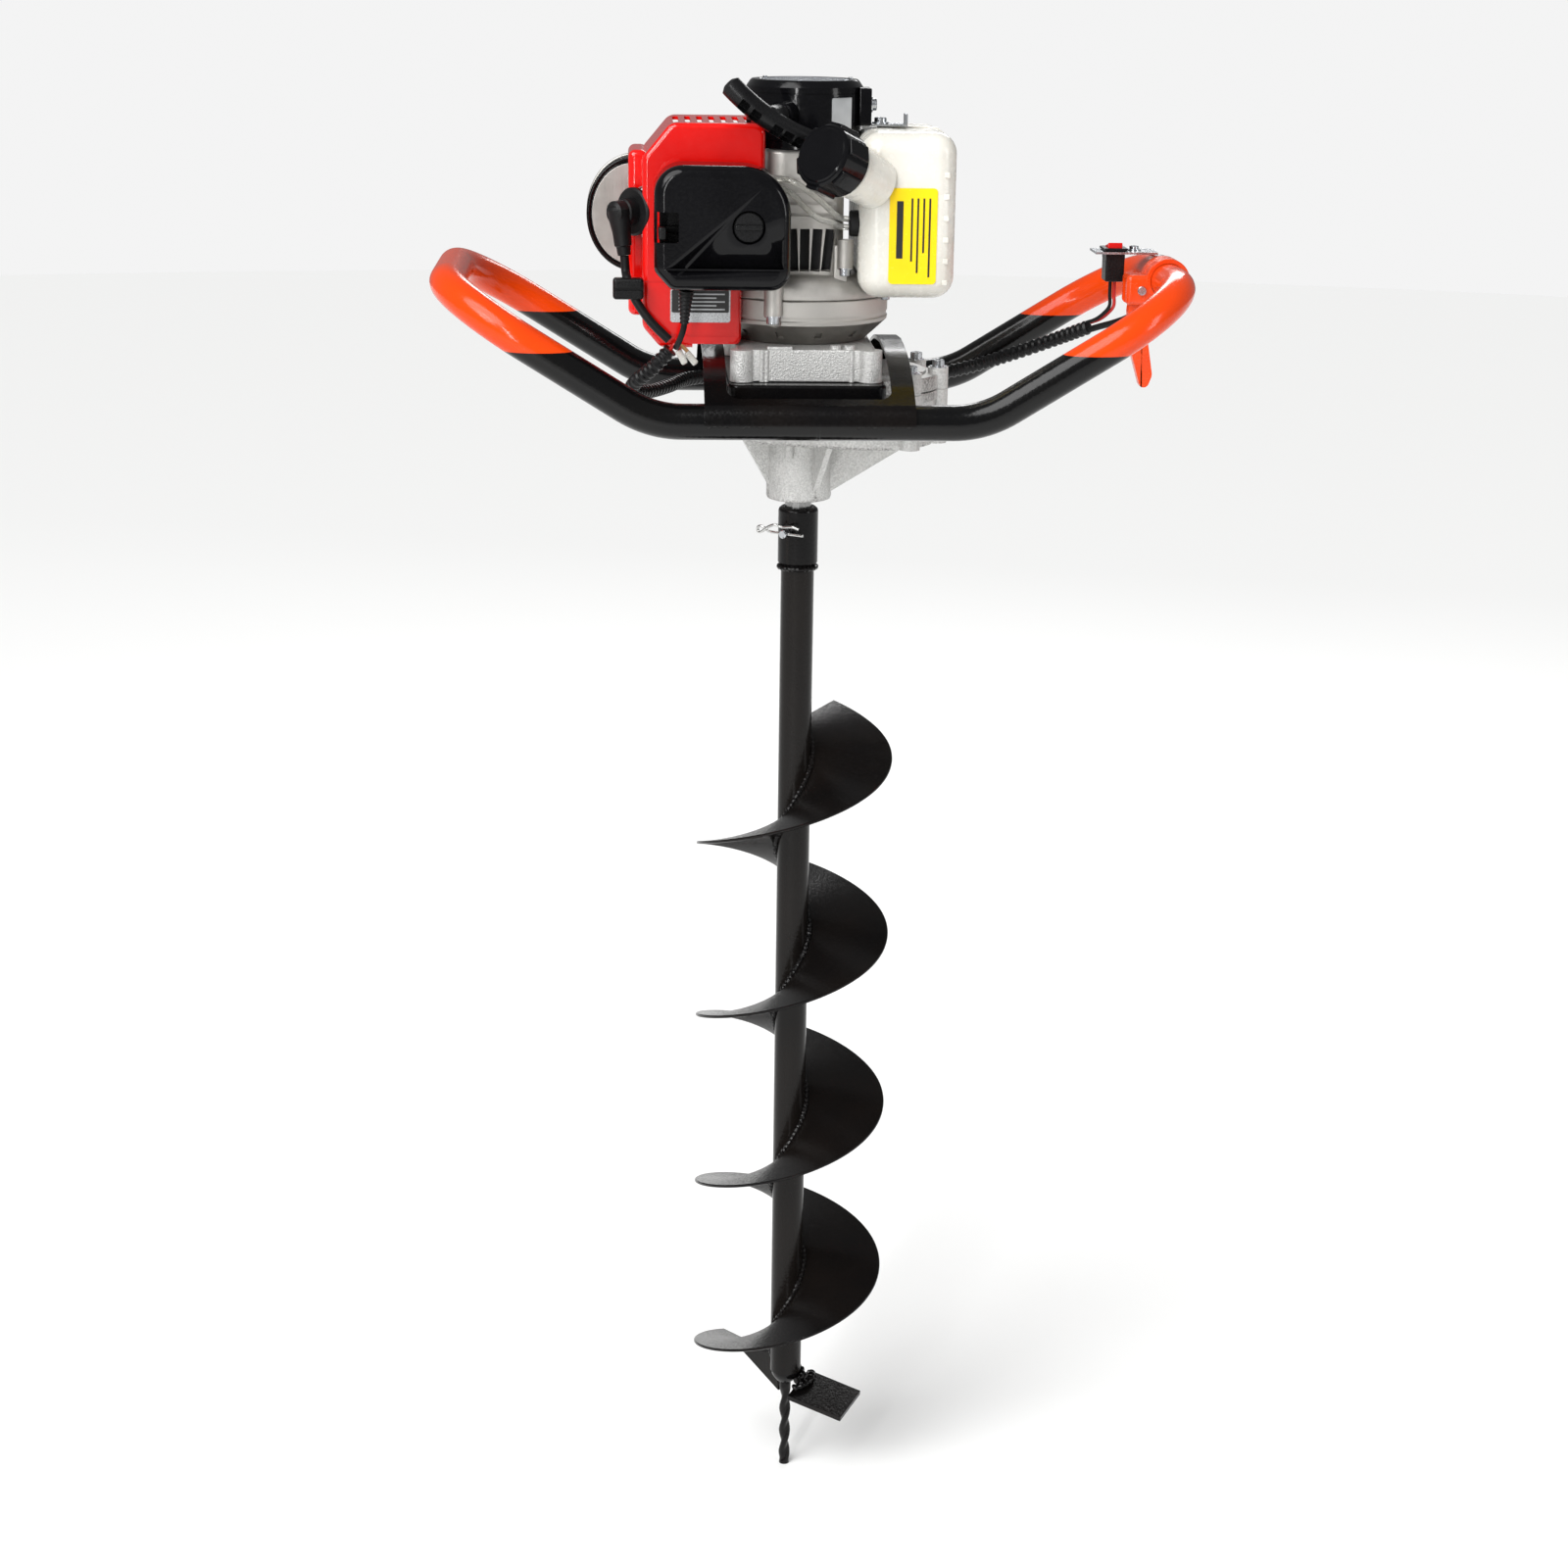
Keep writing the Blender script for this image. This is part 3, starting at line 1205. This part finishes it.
def build_cap():
    """The screw cap: a cup with grip blocks round its skirt."""
    cap = turned(
        "fuel_cap",
        "black_plastic",
        [(0, 0), (21, 0), (22.3, -1.5), (22.3, -CAP_DEPTH), (19.2, -CAP_DEPTH), (19.2, -5.5), (0, -5.5)],
        at=CAP_FACE,
        axis=CAP_DIRECTION,
        steps=40,
    )
    lugs = []
    frame = CAP_DIRECTION.to_track_quat("Z", "Y")
    for i in range(6):
        a = math.tau * i / 6
        out = frame @ Vector((math.cos(a), math.sin(a), 0))
        lug = block(f"cap_lug_{i}", "black_plastic", (5, 11, 20), CAP_FACE + out * 21.3 - CAP_DIRECTION * 12.5, bevel=0.8, segments=1)
        lug.rotation_euler = (frame @ Matrix.Rotation(a, 3, "Z").to_quaternion()).to_euler()
        lugs.append(lug)
    return join(cap, *lugs)


def build_gasket():
    return turned(
        "cap_gasket",
        "black_rubber",
        [(18.6, -5.8), (18.6, -8.2), (10, -8.2), (10, -5.8)],
        at=CAP_FACE,
        axis=CAP_DIRECTION,
        steps=28,
        ring=True,
    )


def build_bracket():
    """The pressed strap from the starter housing that holds the tank's top."""
    strap = block("tank_bracket", "steel", (25, 16, 1.6), (60, -14, 1081.2), bevel=0.4, segments=1)
    lip = block("bracket_lip", "steel", (1.6, 16, 9), (72.2, -14, 1084.5), bevel=0.4, segments=1)
    return join(strap, lip)


# Controls


def build_switch_bracket():
    """The folded strap over the grip tube that carries the kill switch."""
    plate = block("switch_bracket", "steel", (46, 30, 1.6), (241, SWITCH_Y, 988.6), bevel=0.3, segments=1)
    tail = extruded("bracket_tail", "steel", tail_outline(), 13, (0, SWITCH_Y, 0), facing="Y")
    hole = block("switch_hole", "steel", (15, 20, 20), (SWITCH_X, SWITCH_Y, 988))
    return cut(join(plate, tail), hole)


SWITCH_X, SWITCH_Y = 233.5, 25.0


def tail_outline():
    """The strap's end steps down and curls over the outer side of the grip tube."""
    centre = (LOOP_END_X + HANDLE_SHIFT, LOOP_END_Z)
    inner = arc(centre, GRIP_RADIUS + 0.5, 100, 25, 6)
    outer = arc(centre, GRIP_RADIUS + 2.0, 25, 100, 6)
    return [(256, 989.4), (256, 987.9), *inner, *outer]


def build_switch_body():
    body = block("kill_switch_body", "black_plastic", (14, 19, 22), (SWITCH_X, SWITCH_Y, 978), bevel=0.8, segments=1)
    bezel = block("switch_bezel", "black_plastic", (18, 23, 2), (SWITCH_X, SWITCH_Y, 990.8), bevel=0.7, segments=1)
    core = block("switch_core", "black_plastic", (14, 19, 8), (SWITCH_X, SWITCH_Y, 987.5))
    well = block("rocker_well", "steel", (11.4, 17, 13), (SWITCH_X, SWITCH_Y, 990))
    return cut(join(body, core, bezel), well)


def build_rocker():
    outline = [(-7.9, 3.6), (7.9, 1.2), (7.4, -3.4), (0, -5.2), (-7.4, -3.4)]
    rocker = extruded("kill_switch_rocker", "red_plastic", [(SWITCH_Y + y, 990.6 + z) for y, z in outline], 10.6,
                      (SWITCH_X, 0, 0), facing="X")
    return bevelled(rocker, 0.5, 1)


def build_switch_lead():
    """The pair of wires from the switch down to the end of the conduit."""
    return tube("kill_switch_lead", "black_rubber", spline_path(SWITCH_LEAD_ROUTE, 4), 1.7, resolution=2)


SWITCH_LEAD_ROUTE = [
    (233.5, 25, 966.6), (233.5, 25, 957), (234, 27, 948), (230, 33, 941), (225.5, 38.5, 936.5), (220.2, 44, 933.6),
]


def build_throttle_housing():
    """The split clamp round the grip tube, with cheeks for the trigger's pin."""
    x = LOOP_END_X + HANDLE_SHIFT
    clamp = rod("throttle_housing", "orange_plastic", GRIP_RADIUS + 3.4, 26, (x, -18, LOOP_END_Z), axis=(0, 1, 0), sides=36)
    cheek = block("throttle_cheek", "orange_plastic", (22, 24, 22), (x - 19, -5, LOOP_END_Z - 7), bevel=3)
    bore = rod("clamp_bore", "steel", GRIP_RADIUS + GAP, 60, (x, -40, LOOP_END_Z), axis=(0, 1, 0), sides=36)
    room = block("trigger_room", "steel", (40, 11, 26), (x - 24, -5, LOOP_END_Z - 12))
    return cut(join(clamp, cheek), bore, room)


TRIGGER_PIVOT = Vector((LOOP_END_X + HANDLE_SHIFT - 21.0, -5.0, LOOP_END_Z - 8.0))


def build_trigger():
    """The finger lever: a long curved blade hanging from its pin in the housing."""
    x, z = TRIGGER_PIVOT.x, TRIGGER_PIVOT.z
    outline = rounded(
        [(x - 4, z + 5), (x + 4, z + 5), (x + 7, z - 22), (x + 14, z - 62), (x + 10, z - 73), (x + 5, z - 70), (x - 4, z - 40),
         (x - 6, z - 15)],
        [4, 3, 30, 8, 4, 5, 30, 20],
        step=12,
    )
    return extruded("throttle_trigger", "orange_plastic", outline[::-1], 10, (0, TRIGGER_PIVOT.y, 0), facing="Y")


# Joint axes


def joint_empty(name, at, axis, *members):
    """An empty on the joint's axis, with the moving pieces under it."""
    empty = bpy.data.objects.new(f"{name}_axis", None)
    empty.empty_display_size = 0.02
    PARTS.objects.link(empty)
    lay(empty, at, axis)
    bpy.context.view_layer.update()
    for member in members:
        member.parent = empty
        member.matrix_parent_inverse = empty.matrix_world.inverted()


def main():
    bit = [build_pilot(), build_tube(), *[build_flight(i) for i in range(FLIGHT_SEGMENTS)], build_blade(), build_collar()]
    drive = [build_pin(), build_output_shaft(), build_output_gear()]
    joint_empty("auger_spin", (0, 0, 0), (0, 0, 1), *bit, *drive)
    joint_empty("clip_pull", clip_middle(), clip_axis(), build_clip())
    joint_empty("idler_spin", (IDLER_X, IDLER_Y, 0), (0, 0, 1), build_idler())
    joint_empty("input_spin", (0, 0, HIGH_GEAR_Z), (0, 0, 1), build_input_pinion(), build_clutch_drum())
    build_output_bearing()
    build_gearbox_housing()
    build_gearbox_cover()
    build_handle("handle_left", -1)
    build_handle("handle_right", 1)
    build_saddle()
    build_seat()
    build_clutch_housing()
    build_crankcase()
    build_cylinder()
    joint_empty("piston_slide", (-58, 0, CRANK_Z), (-1, 0, 0), build_piston())
    joint_empty("crank_spin", (0, 0, CRANK_Z), (0, 0, 1), build_crankshaft(), build_clutch_rotor(), build_flywheel())
    build_starter_housing()
    joint_empty("reel_spin", (0, 0, 1090), (0, 0, 1), build_reel())
    build_rope()
    joint_empty("starter_pull", guide_start(), PULL_DIRECTION, build_starter_handle())
    build_shroud()
    build_air_base()
    joint_empty("air_cover_off", (-60, -60, CRANK_Z), (0, -1, 0), build_air_cover())
    joint_empty("knob_turn", (-43.5, -108.5, 1016), (0, -1, 0), build_knob())
    build_filter()
    joint_empty("choke_turn", (-84, -62, 1010), (1, 0, 0), build_choke())
    build_carburettor()
    build_muffler()
    build_spark_plug()
    build_plug_boot()
    build_ignition_lead()
    build_throttle_boot()
    build_conduit()
    build_tank()
    build_grommet()
    build_fuel_line("fuel_line_supply", SUPPLY_ROUTE)
    build_fuel_line("fuel_line_return", RETURN_ROUTE)
    joint_empty("cap_turn", CAP_FACE, CAP_DIRECTION, build_cap())
    joint_empty("cap_lift", CAP_FACE, CAP_DIRECTION, build_gasket())
    build_bracket()
    build_switch_bracket()
    build_switch_body()
    joint_empty("kill_switch", (SWITCH_X, SWITCH_Y, 990.6), (1, 0, 0), build_rocker())
    build_switch_lead()
    build_throttle_housing()
    joint_empty("throttle", TRIGGER_PIVOT, (0, -1, 0), build_trigger())


main()
